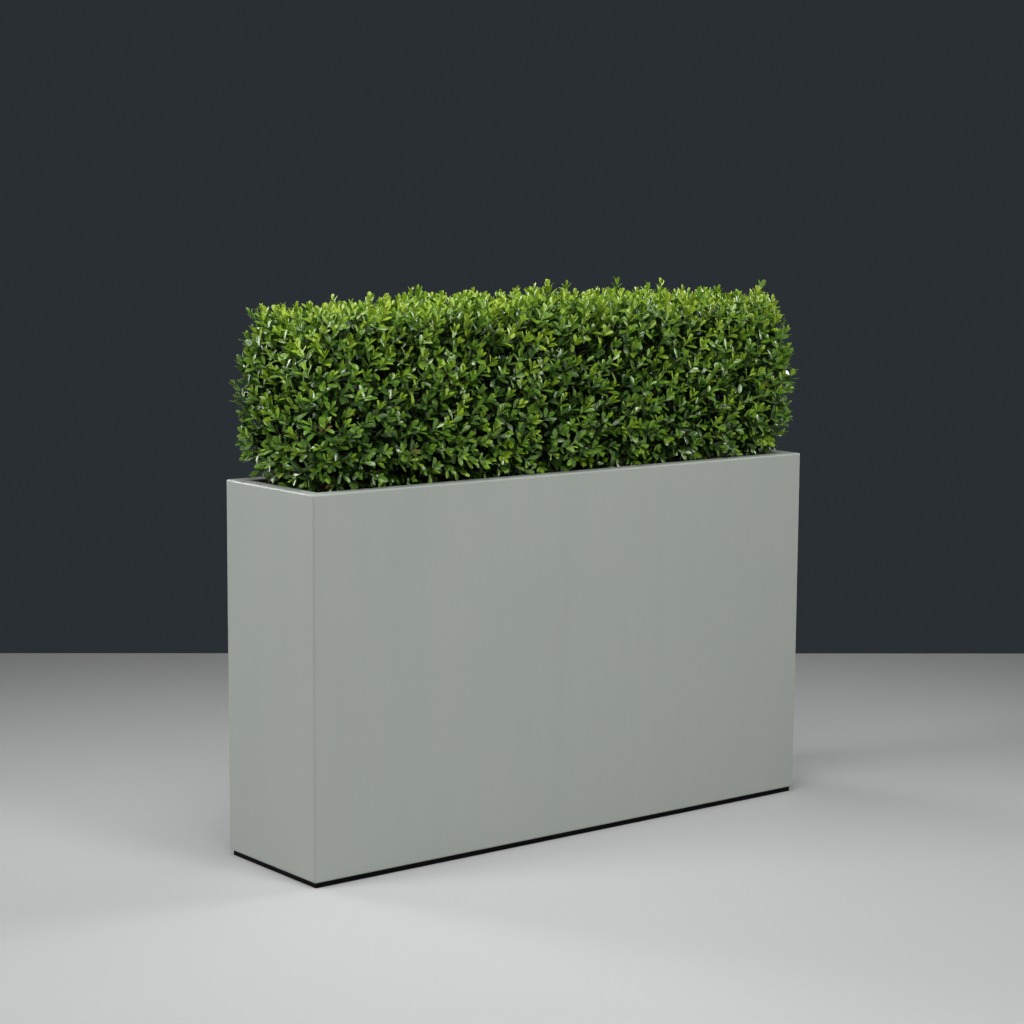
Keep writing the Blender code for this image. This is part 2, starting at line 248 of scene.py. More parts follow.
def group_drawn_streaks():
    """Soft upright streaks that waver: noise stretched along Z. Puts out a mask from 0 to 1."""
    inputs = {"Across": 14.0, "Along": 0.9, "Contrast": 1.6}
    group, entry, exit_node = new_group("drawn_streaks", inputs, "Mask", "NodeSocketFloat")
    place = group.nodes.new("ShaderNodeTexCoord")
    stretch = group.nodes.new("ShaderNodeCombineXYZ")
    group.links.new(entry.outputs["Across"], stretch.inputs["X"])
    group.links.new(entry.outputs["Across"], stretch.inputs["Y"])
    group.links.new(entry.outputs["Along"], stretch.inputs["Z"])
    scaled = group.nodes.new("ShaderNodeVectorMath")
    scaled.operation = "MULTIPLY"
    group.links.new(place.outputs["Object"], scaled.inputs[0])
    group.links.new(stretch.outputs["Vector"], scaled.inputs[1])
    texture = noise_node(group, STREAK_DETAIL)
    texture.inputs["Distortion"].default_value = STREAK_WAVER
    group.links.new(scaled.outputs["Vector"], texture.inputs["Vector"])
    put_out_mask(group, entry, exit_node, texture)
    return group


def group_mottle():
    """Even blotches at one scale. Puts out a mask from 0 to 1."""
    inputs = {"Scale": 20.0, "Contrast": 2.0}
    group, entry, exit_node = new_group("mottle", inputs, "Mask", "NodeSocketFloat")
    place = group.nodes.new("ShaderNodeTexCoord")
    texture = noise_node(group, MOTTLE_DETAIL)
    group.links.new(place.outputs["Object"], texture.inputs["Vector"])
    group.links.new(entry.outputs["Scale"], texture.inputs["Scale"])
    put_out_mask(group, entry, exit_node, texture)
    return group


def group_grain():
    """Fine relief at one scale. Puts out a normal."""
    inputs = {"Scale": 900.0, "Strength": 0.1, "Depth": 0.0005}
    group, entry, exit_node = new_group("grain", inputs, "Normal", "NodeSocketVector")
    place = group.nodes.new("ShaderNodeTexCoord")
    texture = noise_node(group, GRAIN_DETAIL)
    group.links.new(place.outputs["Object"], texture.inputs["Vector"])
    group.links.new(entry.outputs["Scale"], texture.inputs["Scale"])
    bump = group.nodes.new("ShaderNodeBump")
    group.links.new(texture.outputs["Fac"], bump.inputs["Height"])
    group.links.new(entry.outputs["Strength"], bump.inputs["Strength"])
    group.links.new(entry.outputs["Depth"], bump.inputs["Distance"])
    group.links.new(bump.outputs["Normal"], exit_node.inputs["Normal"])
    return group


GROUPS = {"streaks": group_drawn_streaks(), "mottle": group_mottle(), "grain": group_grain()}

# ---------------------------------------------------------------- materials

# Sockets of a Mix node for colours, by number, because several of them share a name.
MIX_FACTOR, MIX_FIRST, MIX_SECOND = 0, 6, 7
MIX_RESULT = 2


def new_material(name, colour, roughness):
    """A material with its node tree and its Principled shader."""
    material = bpy.data.materials.new(name)
    material.use_nodes = True
    shader = material.node_tree.nodes["Principled BSDF"]
    shader.inputs["Base Color"].default_value = (*colour, 1.0)
    shader.inputs["Roughness"].default_value = roughness
    return material, material.node_tree, shader


def place_group(tree, key, **values):
    """One of the node groups, placed in a material with its own values."""
    node = tree.nodes.new("ShaderNodeGroup")
    node.node_tree = GROUPS[key]
    for label, value in values.items():
        node.inputs[label].default_value = value
    return node


def mix_colours(tree, factor, first, second):
    """A colour between two others. Either may be a colour or the output of another node."""
    mix = tree.nodes.new("ShaderNodeMix")
    mix.data_type = "RGBA"
    tree.links.new(factor, mix.inputs[MIX_FACTOR])
    for number, value in ((MIX_FIRST, first), (MIX_SECOND, second)):
        if isinstance(value, tuple):
            mix.inputs[number].default_value = (*value, 1.0)
        else:
            tree.links.new(value, mix.inputs[number])
    return mix.outputs[MIX_RESULT]


def map_range(tree, value, low, high):
    """A mask's range from 0 to 1, mapped to low and high."""
    node = tree.nodes.new("ShaderNodeMapRange")
    node.inputs["To Min"].default_value = low
    node.inputs["To Max"].default_value = high
    tree.links.new(value, node.inputs["Value"])
    return node.outputs["Result"]


def trough_paint():
    """Satin grey-green paint on fibreglass: faint upright streaks, soft blotches, fine orange peel."""
    material, tree, shader = new_material("trough_paint", (0.312, 0.339, 0.308), 0.45)
    streaks = place_group(tree, "streaks", Across=15.0, Along=1.3, Contrast=1.9)
    blotches = place_group(tree, "mottle", Scale=3.1, Contrast=2.2)
    specks = place_group(tree, "mottle", Scale=160.0, Contrast=1.6)
    grain = place_group(tree, "grain", Scale=420.0, Strength=0.10, Depth=0.0006)
    drawn = mix_colours(tree, streaks.outputs["Mask"], (0.301, 0.331, 0.295), (0.325, 0.349, 0.322))
    faded = map_range(tree, blotches.outputs["Mask"], 0.0, 0.6)
    mixed = mix_colours(tree, faded, drawn, (0.317, 0.338, 0.321))
    flecked = map_range(tree, specks.outputs["Mask"], 0.0, 0.12)
    painted = mix_colours(tree, flecked, mixed, (0.262, 0.285, 0.260))
    tree.links.new(painted, shader.inputs["Base Color"])
    tree.links.new(map_range(tree, blotches.outputs["Mask"], 0.36, 0.50), shader.inputs["Roughness"])
    tree.links.new(grain.outputs["Normal"], shader.inputs["Normal"])
    return material


def plinth_black_and_painted_shade():
    """Matt black plastic with dust on it, near-black: partly the plastic's own black, partly painted shade
    of the recess under the trough.
    """
    material, tree, shader = new_material("plinth_black_and_painted_shade", (0.004, 0.004, 0.0045), 0.7)
    shader.inputs["Specular IOR Level"].default_value = 0.06
    dust = place_group(tree, "mottle", Scale=70.0, Contrast=2.5)
    grain = place_group(tree, "grain", Scale=700.0, Strength=0.25, Depth=0.0004)
    dusted = map_range(tree, dust.outputs["Mask"], 0.0, 0.3)
    # Both near-black colours are partly the plastic's own black and partly painted shade of the recess
    # under the trough.
    black = mix_colours(tree, dusted, (0.0015, 0.0015, 0.0018), (0.007, 0.0068, 0.0065))
    tree.links.new(black, shader.inputs["Base Color"])
    tree.links.new(map_range(tree, dust.outputs["Mask"], 0.50, 0.75), shader.inputs["Roughness"])
    tree.links.new(grain.outputs["Normal"], shader.inputs["Normal"])
    return material


def potting_soil():
    """Damp dark compost."""
    material, tree, shader = new_material("potting_compost", (0.028, 0.018, 0.011), 0.92)
    clumps = place_group(tree, "mottle", Scale=55.0, Contrast=3.0)
    grains = place_group(tree, "mottle", Scale=420.0, Contrast=3.0)
    grain = place_group(tree, "grain", Scale=650.0, Strength=0.7, Depth=0.0012)
    body = mix_colours(tree, clumps.outputs["Mask"], (0.012, 0.008, 0.005), (0.045, 0.029, 0.017))
    flecks = map_range(tree, grains.outputs["Mask"], 0.0, 0.4)
    tree.links.new(mix_colours(tree, flecks, body, (0.075, 0.052, 0.034)), shader.inputs["Base Color"])
    tree.links.new(map_range(tree, clumps.outputs["Mask"], 0.8, 0.97), shader.inputs["Roughness"])
    tree.links.new(grain.outputs["Normal"], shader.inputs["Normal"])
    return material


def box_bark():
    """Pale grey-brown bark with fine cracks along the limb."""
    material, tree, shader = new_material("box_bark", (0.17, 0.125, 0.08), 0.85)
    cracks = place_group(tree, "streaks", Across=260.0, Along=60.0, Contrast=3.0)
    patches = place_group(tree, "mottle", Scale=90.0, Contrast=2.2)
    grain = place_group(tree, "grain", Scale=500.0, Strength=0.6, Depth=0.0010)
    bark = mix_colours(tree, cracks.outputs["Mask"], (0.060, 0.042, 0.026), (0.230, 0.175, 0.115))
    lichen = map_range(tree, patches.outputs["Mask"], 0.0, 0.35)
    tree.links.new(mix_colours(tree, lichen, bark, (0.170, 0.165, 0.110)), shader.inputs["Base Color"])
    tree.links.new(map_range(tree, cracks.outputs["Mask"], 0.75, 0.95), shader.inputs["Roughness"])
    tree.links.new(grain.outputs["Normal"], shader.inputs["Normal"])
    return material


def young_wood():
    """Shoots: green wood that turns tan."""
    material, tree, shader = new_material("young_wood", (0.13, 0.15, 0.05), 0.6)
    patches = place_group(tree, "mottle", Scale=45.0, Contrast=2.6)
    wood = mix_colours(tree, patches.outputs["Mask"], (0.050, 0.080, 0.014), (0.110, 0.095, 0.045))
    tree.links.new(wood, shader.inputs["Base Color"])
    tree.links.new(map_range(tree, patches.outputs["Mask"], 0.5, 0.75), shader.inputs["Roughness"])
    return material


# Leaf tones, from the youngest leaves on top to the darkest ones inside, and last the few dried ones; the
# paler top is partly painted light, and the old and shade tones deep inside are painted shade.
LEAF_TONES = (
    ("lime", (0.350, 0.460, 0.034)),
    ("fresh", (0.285, 0.415, 0.026)),
    ("bright", (0.245, 0.390, 0.024)),
    ("mid", (0.170, 0.318, 0.024)),
    ("summer", (0.100, 0.217, 0.020)),
    ("deep", (0.048, 0.120, 0.013)),
    ("old", (0.018, 0.048, 0.004)),
    ("shade", (0.006, 0.018, 0.002)),
    ("dry", (0.165, 0.130, 0.045)),
)
YOUNG_TONES = ("lime", "fresh", "bright")
DULL_TONES = ("old", "shade", "dry")
GROWN_FINISH = (0.32, 0.90)
YOUNG_FINISH = (0.40, 0.50)
DULL_FINISH = (0.55, 0.10)


def leaf_material(name, colour):
    """Leathery box leaf, one plain colour to a spray: grown ones glossy, old and dried ones dull."""
    roughness, gloss = GROWN_FINISH
    if name in YOUNG_TONES:
        roughness, gloss = YOUNG_FINISH
    if name in DULL_TONES:
        roughness, gloss = DULL_FINISH
    material, _tree, shader = new_material(f"box_leaf_{name}", colour, roughness)
    shader.inputs["Specular IOR Level"].default_value = gloss
    return material


# ---------------------------------------------------------------- trough, plinth and soil

FACES_UP = 0.9
SMOOTH_ANGLE = math.radians(40)


def model_trough():
    """The trough, from one block: top inset, sunk past the rim, spread to the walls, sunk again."""
    deselect()
    centre = (TROUGH_LOW + TROUGH_HIGH) / 2
    bpy.ops.mesh.primitive_cube_add(size=1.0, location=centre, scale=TROUGH_HIGH - TROUGH_LOW)
    trough = bpy.context.object
    trough.name = "trough_shell"
    bpy.ops.object.transform_apply(location=True, rotation=True, scale=True)
    bpy.ops.object.mode_set(mode="EDIT")
    bpy.ops.mesh.select_mode(type="FACE")
    select_faces(trough, lambda face: face.normal.z > FACES_UP)
    bpy.ops.mesh.inset(thickness=RIM_WIDTH)
    bpy.ops.mesh.extrude_region_move(TRANSFORM_OT_translate={"value": (0, 0, -RIM_THICKNESS)})
    bpy.ops.mesh.extrude_region_move(TRANSFORM_OT_translate={"value": (0, 0, 0)})
    wider = (TROUGH_LENGTH - 2 * WALL) / (TROUGH_LENGTH - 2 * RIM_WIDTH)
    deeper = (TROUGH_DEPTH - 2 * WALL) / (TROUGH_DEPTH - 2 * RIM_WIDTH)
    bpy.ops.transform.resize(value=(wider, deeper, 1.0), center_override=(0, 0, RIM_TOP - RIM_THICKNESS))
    drop = RIM_TOP - RIM_THICKNESS - (TROUGH_LOW.z + TROUGH_FLOOR)
    bpy.ops.mesh.extrude_region_move(TRANSFORM_OT_translate={"value": (0, 0, -drop)})
    bpy.ops.mesh.select_mode(type="EDGE")
    select_edges(trough, is_rounded)
    bpy.ops.mesh.bevel(offset=EDGE_RADIUS, segments=EDGE_SEGMENTS, profile=0.5, affect="EDGES")
    bpy.ops.object.mode_set(mode="OBJECT")
    bpy.ops.object.shade_smooth_by_angle(angle=SMOOTH_ANGLE)
    bpy.ops.object.modifier_add(type="WEIGHTED_NORMAL")
    trough.modifiers[-1].keep_sharp = True
    bpy.ops.object.modifier_apply(modifier=trough.modifiers[-1].name)
    trough.data.materials.clear()
    trough.data.materials.append(trough_paint())
    ride_root(trough, "sage_grey_paint", "trough")


def is_rounded(edge):
    """Whether an edge of the trough is rounded: its outer edges, and the mouth's edge on the rim."""
    ends = [vertex.co for vertex in edge.verts]
    mouth_x = TROUGH_HIGH.x - RIM_WIDTH + GAP
    mouth_y = TROUGH_HIGH.y - RIM_WIDTH + GAP
    outside = all(abs(end.x) > TROUGH_HIGH.x - GAP and abs(end.y) > TROUGH_HIGH.y - GAP for end in ends)
    on_top = all(end.z > RIM_TOP - GAP for end in ends)
    at_mouth = all(abs(end.x) < mouth_x and abs(end.y) < mouth_y for end in ends)
    return outside or (on_top and at_mouth)


def finish_plinth():
    """The plinth keeps its solid, with a near-black finish of its own that is partly painted shade of the
    recess under the trough.
    """
    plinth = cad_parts["plinth"]
    plinth.data.materials.clear()
    plinth.data.materials.append(plinth_black_and_painted_shade())


SOIL_CELLS_ALONG = 236
SOIL_CELLS_ACROSS = 56
SOIL_RELIEF = 0.0035
SOIL_SKIRT = 0.02
SOIL_WAVES = 60
SHORTEST_SOIL_WAVE = 0.012
LONGEST_SOIL_WAVE = 0.09
SOIL_SWELL = 0.45
SOIL_GRIT = 0.4
CRUMB_COUNT = 3600
CRUMB_SMALLEST = 0.0012
CRUMB_LARGEST = 0.0048
CRUMB_RARITY = 3
CRUMB_LEAST_REACH = 0.5
CRUMB_FLATNESS = 0.55
CRUMB_SEAT = 0.4


def model_soil(material):
    """The soil: a grid roughened by waves and grit, with a skirt down its sides, strewn with crumbs."""
    deselect()
    bpy.ops.mesh.primitive_grid_add(
        x_subdivisions=SOIL_CELLS_ALONG, y_subdivisions=SOIL_CELLS_ACROSS, size=1.0
    )
    soil = bpy.context.object
    soil.name = "soil_bed"
    soil.scale = (SOIL_HIGH.x - SOIL_LOW.x, SOIL_HIGH.y - SOIL_LOW.y, 1.0)
    soil.location = (0.0, 0.0, SOIL_TOP - SOIL_RELIEF)
    bpy.ops.object.transform_apply(location=True, rotation=True, scale=True)
    rng = np.random.default_rng(SEED)
    places = np.array([vertex.co for vertex in soil.data.vertices])
    relief = np.zeros(len(places))
    for _ in range(SOIL_WAVES):
        direction = rng.normal(size=2)
        pitch = math.tau / rng.uniform(SHORTEST_SOIL_WAVE, LONGEST_SOIL_WAVE)
        wave = places[:, :2] @ unit(direction) * pitch + rng.uniform(0, math.tau)
        relief += np.sin(wave) / SOIL_WAVES**0.5
    swell = np.clip(SOIL_SWELL * relief, -1, 1)
    places[:, 2] += SOIL_RELIEF * swell - SOIL_GRIT * SOIL_RELIEF * rng.random(len(places))
    soil.data.vertices.foreach_set("co", places.ravel())
    bpy.ops.object.mode_set(mode="EDIT")
    bpy.ops.mesh.select_all(action="SELECT")
    bpy.ops.mesh.select_mode(type="EDGE")
    bpy.ops.mesh.region_to_loop()
    bpy.ops.mesh.extrude_edges_move(TRANSFORM_OT_translate={"value": (0, 0, -SOIL_SKIRT)})
    bpy.ops.object.mode_set(mode="OBJECT")
    bpy.ops.object.shade_smooth()
    soil.data.materials.append(material)
    ride_root(soil, "soil", "potting_soil")
    strew_crumbs(material, rng)


def strew_crumbs(material, rng):
    """Crumbs and bark chips on the soil, each a rough lump of eight faces, in one piece."""
    corners = np.array([(1, 0, 0), (-1, 0, 0), (0, 1, 0), (0, -1, 0), (0, 0, 1), (0, 0, -1)], float)
    lump = [(0, 2, 4), (2, 1, 4), (1, 3, 4), (3, 0, 4), (2, 0, 5), (1, 2, 5), (3, 1, 5), (0, 3, 5)]
    margin = 2 * CRUMB_LARGEST
    sizes = CRUMB_SMALLEST + (CRUMB_LARGEST - CRUMB_SMALLEST) * rng.random(CRUMB_COUNT) ** CRUMB_RARITY
    x = rng.uniform(SOIL_LOW.x + margin, SOIL_HIGH.x - margin, CRUMB_COUNT)
    y = rng.uniform(SOIL_LOW.y + margin, SOIL_HIGH.y - margin, CRUMB_COUNT)
    centres = np.stack([x, y, SOIL_TOP - SOIL_RELIEF + sizes * CRUMB_SEAT], axis=1)
    reaches = rng.uniform(CRUMB_LEAST_REACH, 1.0, (CRUMB_COUNT, len(corners), 1))
    shapes = corners[None] * sizes[:, None, None] * reaches
    turns = rng.uniform(0, math.tau, CRUMB_COUNT)
    cos, sin = np.cos(turns)[:, None], np.sin(turns)[:, None]
    turned_x = shapes[:, :, 0] * cos - shapes[:, :, 1] * sin
    turned_y = shapes[:, :, 0] * sin + shapes[:, :, 1] * cos
    turned = np.stack([turned_x, turned_y, CRUMB_FLATNESS * shapes[:, :, 2]], axis=2)
    points = (turned + centres[:, None]).reshape(-1, 3)
    faces = np.array(lump)[None] + len(corners) * np.arange(CRUMB_COUNT)[:, None, None]
    crumbs = joined_mesh("soil_crumbs", points.tolist(), faces.reshape(-1, 3).tolist(), material)
    ride_root(crumbs, "soil")


# ---------------------------------------------------------------- clipped outline, as in the solids


def clip_inset(height):
    """How far the clipped sides stand in from their widest line, at a height above the rim."""
    if height < FOOT_HEIGHT:
        return FOOT_INSET * (1 - max(height, 0.0) / FOOT_HEIGHT) ** 2
    return SHOULDER_INSET * ((height - FOOT_HEIGHT) / (HEDGE_HEIGHT - FOOT_HEIGHT)) ** 3


def outline_distance(point):
    """Distance of a point outside the clipped outline, below zero inside it."""
    height = point[2] - RIM_TOP
    side_inset = clip_inset(min(height, HEDGE_HEIGHT)) + HEDGE_CORNER
    reach_x = abs(point[0]) - (HEDGE_LENGTH / 2 - side_inset)
    reach_y = abs(point[1]) - (HEDGE_DEPTH / 2 - side_inset)
    outside = math.hypot(max(reach_x, 0.0), max(reach_y, 0.0))
    inside = min(max(reach_x, reach_y), 0.0)
    return max(outside + inside - HEDGE_CORNER, height - HEDGE_HEIGHT)


def outward(point):
    """Outward direction of the clipped outline near a point."""
    slopes = []
    for axis in (Vector((GAP, 0, 0)), Vector((0, GAP, 0)), Vector((0, 0, GAP))):
        slopes.append(outline_distance(point + axis) - outline_distance(point - axis))
    return Vector(slopes).normalized()


def outline_point(random_source, depth):
    """A random point at a depth under the clipped outline, on a ray from the hedge's middle line."""
    line_end = (HEDGE_LENGTH - HEDGE_DEPTH) / 2
    middle_x = random_source.uniform(-HEDGE_LENGTH / 2, HEDGE_LENGTH / 2)
    start = Vector((max(-line_end, min(line_end, middle_x)), 0.0, RIM_TOP + HEDGE_HEIGHT / 2))
    direction = Vector([random_source.gauss(0.0, 1.0) for _ in range(3)]).normalized()
    near, far = 0.0, HEDGE_LENGTH
    while far - near > GAP:
        half = (near + far) / 2
        if outline_distance(start + direction * half) < -depth:
            near = half
        else:
            far = half
    return start + direction * near


def spread_targets(seed, spacing, tries, depth=0.0, lowest=SHOOT_LOWEST):
    """Points spread evenly at a depth under the clipped outline, above the rim."""
    random_source = random.Random(seed)
    targets = []
    cells = {}
    for _ in range(tries):
        point = outline_point(random_source, depth)
        cell = tuple(math.floor(value / spacing) for value in point)
        near = []
        for x in range(cell[0] - 1, cell[0] + 2):
            for y in range(cell[1] - 1, cell[1] + 2):
                for z in range(cell[2] - 1, cell[2] + 2):
                    near += cells.get((x, y, z), ())
        apart = all((point - other).length > spacing for other in near)
        if apart and point.z > RIM_TOP + lowest:
            targets.append(point)
            cells.setdefault(cell, []).append(point)
    return targets


# ---------------------------------------------------------------- stems and boughs


def plant_x(index):
    return (index - (PLANT_COUNT - 1) / 2) * PLANT_PITCH


def nearest_plant(point):
    return min(range(PLANT_COUNT), key=lambda index: abs(point.x - plant_x(index)))


def stem_foot(index):
    return Vector((plant_x(index), 0.0, SOIL_TOP + GAP))


def stem_tip(index):
    random_source = random.Random(SEED + index)
    lean_x = random_source.uniform(-STEM_LEAN, STEM_LEAN)
    lean_y = random_source.uniform(-STEM_LEAN, STEM_LEAN)
    return stem_foot(index) + Vector((lean_x, lean_y, STEM_HEIGHT))


def inner_stem_top(index):
    return Vector((plant_x(index), 0.0, RIM_TOP + INNER_STEM_TOP))


def bough_lines(index):
    """Base and tip of each bough of a plant, round its stem by the golden angle."""
    start, end = stem_tip(index), inner_stem_top(index)
    lines = []
    for step in range(BOUGHS):
        angle = step * GOLDEN_ANGLE
        height = BOUGH_LOWEST + (BOUGH_HIGHEST - BOUGH_LOWEST) * (step + 0.5) / BOUGHS
        x = plant_x(index) + BOUGH_REACH * PLANT_PITCH / 2 * math.cos(angle)
        tip = Vector((x, BOUGH_REACH * HEDGE_DEPTH / 2 * math.sin(angle), RIM_TOP + height))
        lines.append((start.lerp(end, (1 - BOUGH_RISE) * height / BOUGH_HIGHEST), tip))
    return lines


BARK_RIDGES = 9
BARK_RELIEF = 0.09
BARK_TWIST = 1.7
BARK_BREAKS = 2.3
UPRIGHT = 0.9
STEM_SIDES = 28
STEM_STEPS = 22
BOUGH_SIDES = 8
BOUGH_STEPS = 7
BOUGH_SAG = 0.018


def limb_arrays(path, radii, sides, lobes=None, turn=0.0):
    """Points and faces of a limb with bark ridges along a path; a root flare also has lobes."""
    points = []
    for step, (centre, radius) in enumerate(zip(path, radii)):
        before, after = path[max(step - 1, 0)], path[min(step + 1, len(path) - 1)]
        axis = (after - before).normalized()
        side = Vector((1, 0, 0)) if abs(axis.z) > UPRIGHT else axis.cross(Vector((0, 0, 1))).normalized()
        other = axis.cross(side).normalized()
        side = other.cross(axis).normalized()
        for spoke in range(sides):
            angle = math.tau * spoke / sides
            ridge = math.sin(BARK_RIDGES * angle + BARK_TWIST * step) * math.sin(BARK_BREAKS * step + angle)
            reach = radius * (1 + BARK_RELIEF * ridge)
            if lobes:
                reach *= 1 + lobes[step] * math.cos(FLARE_LOBES * angle + turn)
            points.append(centre + reach * (math.cos(angle) * side + math.sin(angle) * other))
    faces = []
    for step in range(len(path) - 1):
        for spoke in range(sides):
            following = (spoke + 1) % sides
            low, high = step * sides, (step + 1) * sides
            faces.append((low + spoke, low + following, high + following, high + spoke))
    faces.append(tuple(range(sides))[::-1])
    faces.append(tuple(range((len(path) - 1) * sides, len(path) * sides)))
    return points, faces


def flare_radius(height):
    """Radius and lobing of a short stem, at a height above the soil."""
    if height < FLARE_HEIGHT:
        share = (1 - height / FLARE_HEIGHT) ** 2
        return STEM_RADIUS + (FLARE_RADIUS - STEM_RADIUS) * share, FLARE_LOBE * share
    share = (height - FLARE_HEIGHT) / (STEM_HEIGHT - FLARE_HEIGHT)
    return STEM_RADIUS + (STEM_TIP_RADIUS - STEM_RADIUS) * min(share, 1.0), 0.0


def model_stem(index, bark):
    """Stem of one plant from its flat cut on the soil up through the mass, and its boughs."""
    foot, tip, top = stem_foot(index), stem_tip(index), inner_stem_top(index)
    path, radii, lobes = [], [], []
    for step in range(STEM_STEPS):
        share = step / (STEM_STEPS - 1)
        if share < 0.5:
            centre = foot.lerp(tip, 2 * share)
            radius, lobe = flare_radius(centre.z - foot.z)
        else:
            centre = tip.lerp(top, 2 * share - 1)
            radius = STEM_TIP_RADIUS + (BOUGH_RADIUS - STEM_TIP_RADIUS) * (2 * share - 1)
            lobe = 0.0
        path.append(centre)
        radii.append(radius)
        lobes.append(lobe)
    turn = random.Random(SEED - index).uniform(0.0, math.tau)
    points, faces = limb_arrays(path, radii, STEM_SIDES, lobes, turn)
    for base, end in bough_lines(index):
        path = bent_path(base, end, Vector((0, 0, -BOUGH_SAG)), BOUGH_STEPS)
        radii = np.linspace(BOUGH_RADIUS, TWIG_RADIUS, BOUGH_STEPS).tolist()
        more_points, more_faces = limb_arrays(path, radii, BOUGH_SIDES)
        faces += [tuple(corner + len(points) for corner in face) for face in more_faces]
        points += more_points
    limbs = joined_mesh(f"stem_and_boughs_{index + 1}", points, faces, bark)
    ride_root(limbs, "bark", f"stem_{index + 1}")


def bent_path(start, end, bend, count):
    """Points from start to end that swing out by bend in the middle."""
    path = []
    for step in range(count):
        share = step / (count - 1)
        path.append(start.lerp(end, share) + bend * (4 * share * (1 - share)))
    return path


# ---------------------------------------------------------------- twigs, shoots and leaves

TUBE_SIDES = 3

# Two directions, nearly upright and a little askew, from which a tube's or a leaf's sides are found.
TUBE_REFERENCE = (0.31, 0.17, 0.94)
LEAF_REFERENCE = (0.2, 0.1, 0.97)


def unit(vectors):
    return vectors / np.linalg.norm(vectors, axis=-1, keepdims=True)


def tube_arrays(paths, radii):
    """Points and faces of many three-sided tubes: paths is tubes x points x 3."""
    tubes, count, _ = paths.shape
    along = unit(np.gradient(paths, axis=1))
    overall = paths[:, -1] - paths[:, 0]
    reference = unit(np.cross(overall, TUBE_REFERENCE))
    side = unit(np.cross(along, reference[:, None]))
    other = np.cross(along, side)
    rings = []
    for spoke in range(TUBE_SIDES):
        angle = math.tau * spoke / TUBE_SIDES
        rings.append(paths + radii[..., None] * (math.cos(angle) * side + math.sin(angle) * other))
    points = np.stack(rings, axis=2).reshape(-1, 3)
    walls = []
    for step in range(count - 1):
        for spoke in range(TUBE_SIDES):
            following = (spoke + 1) % TUBE_SIDES
            low, high = TUBE_SIDES * step, TUBE_SIDES * (step + 1)
            walls.append((low + spoke, high + spoke, high + following))
            walls.append((low + spoke, high + following, low + following))
    walls.append((0, 1, 2))
    last = TUBE_SIDES * (count - 1)
    walls.append((last, last + 2, last + 1))
    faces = np.array(walls)[None] + TUBE_SIDES * count * np.arange(tubes)[:, None, None]
    return points.tolist(), faces.reshape(-1, 3).tolist()


# Stations along a leaf between its two end points, each with its part of the greatest half width.
LEAF_STATIONS = ((0.30, 0.62), (0.64, 1.00), (0.90, 0.66))


def leaf_template():
    """Along, across and side share of each point of a leaf, and its twelve faces."""
    points = [(0.0, 0.0)]
    for along, width in LEAF_STATIONS:
        points += [(along, -width), (along, 0.0), (along, width)]
    points.append((1.0, 0.0))
    last = len(points) - 1
    faces = [(0, 2, 1), (0, 3, 2)]
    for station in range(len(LEAF_STATIONS) - 1):
        low = 1 + 3 * station
        for column in (0, 1):
            left, right = low + column, low + column + 1
            faces += [(left, right, right + 3), (left, right + 3, left + 3)]
    faces += [(last - 3, last - 2, last), (last - 2, last - 1, last)]
    return np.array(points), np.array(faces)


def leaf_arrays(leaves):
    """Points and faces of many leaves: a dictionary of arrays, one row to a leaf."""
    outline, faces = leaf_template()
    along, facing = leaves["along"], leaves["facing"]
    across = unit(np.cross(facing, along))
    upward = np.cross(along, across)
    length = leaves["length"][:, None]
    half_width = length * leaves["roundness"][:, None] / 2
    run = outline[None, :, 0] * length
    reach = outline[None, :, 1] * half_width
    rise = leaves["fold"][:, None] * np.abs(reach) + leaves["curl"][:, None] * run * outline[None, :, 0]
    points = (
        leaves["root"][:, None]
        + run[..., None] * along[:, None]
        + reach[..., None] * across[:, None]
        + rise[..., None] * upward[:, None]
    )
    count = len(outline)
    faces = faces[None] + count * np.arange(len(length))[:, None, None]
    return points.reshape(-1, 3).tolist(), faces.reshape(-1, 3).tolist()


def twig_lines():
    """Bough end and inner node of each twig, for the even targets of the solids, by plant."""
    lines = [[] for _ in range(PLANT_COUNT)]
    for target in spread_targets(SEED, TWIG_SPACING, TWIG_TRIES):
        index = nearest_plant(target)
        node = target - outward(target) * TWIG_DEPTH
        node.z = max(node.z, RIM_TOP + SHOOT_LOWEST)
        base = min((line[1] for line in bough_lines(index)), key=lambda tip: (tip - node).length)
        lines[index].append((base, node))
    return lines


def shoot_growth(target, out, rng):
    """How far a shoot grows past its target on the clipped outline, below zero where it falls short."""
    growth = rng.triangular(DEEPEST_GROWTH, 0.0, USUAL_GROWTH)
    if rng.random() < SPRIG_SHARE:
        growth = rng.uniform(USUAL_GROWTH, SPRIG_GROWTH + TOP_SPRIG_GROWTH * max(out.z, 0.0))
    growth += CLUMP_GROWTH * min(noise.noise(target / CLUMP_SIZE), CLUMP_CREST)
    toward_end = max(0.0, abs(target.x) / (HEDGE_LENGTH / 2) - END_DROP_START)
    end_drop = RIGHT_END_DROP if target.x > 0 else LEFT_END_DROP
    growth -= end_drop * max(out.z, 0.0) * toward_end
    growth += CORNER_GROWTH * max(out.x, 0.0) * max(out.z, 0.0)
    return growth


